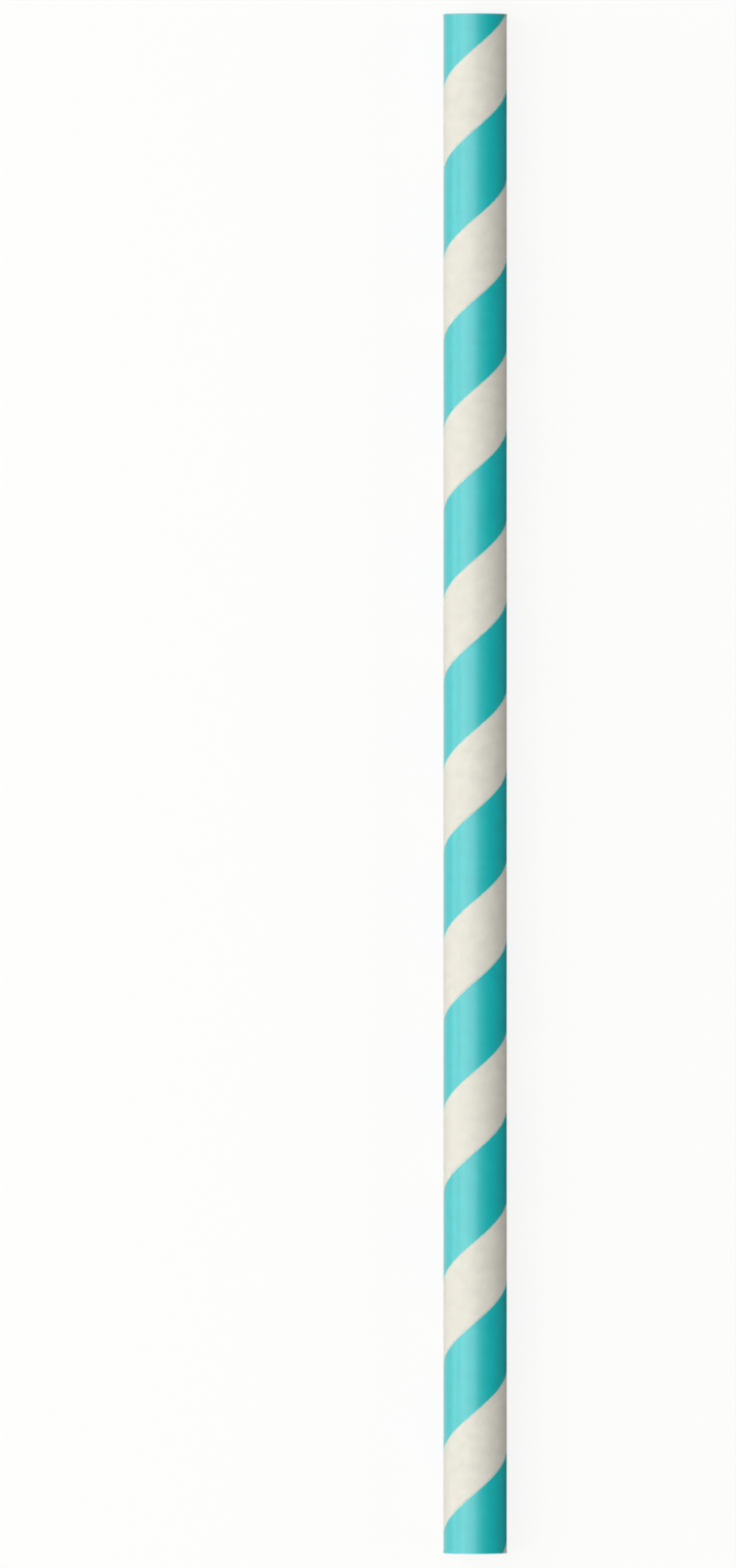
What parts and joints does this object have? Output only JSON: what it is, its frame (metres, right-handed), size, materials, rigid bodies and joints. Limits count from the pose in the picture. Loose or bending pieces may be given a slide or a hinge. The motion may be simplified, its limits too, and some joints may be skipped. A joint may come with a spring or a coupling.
{
  "type": "paper drinking straw",
  "caption": "Straight drinking straw wound from paper strip: a thin open tube with square-cut ends, a fine helical seam and helical colour bands.",
  "frame": {"origin": "on the resting plane, under the middle of the straw as it lies on its side", "axes": "+Y along the straw towards the end that is uppermost in the picture, +Z up from the surface it lies on, +X to the right as seen from above with +Y up"},
  "size_m": [0.0082, 0.197, 0.0082],
  "materials": {
    "printed_paper": "satin"
  },
  "bodies": {
    "root": {"paper_tube": "printed_paper"}
  },
  "joints": []
}
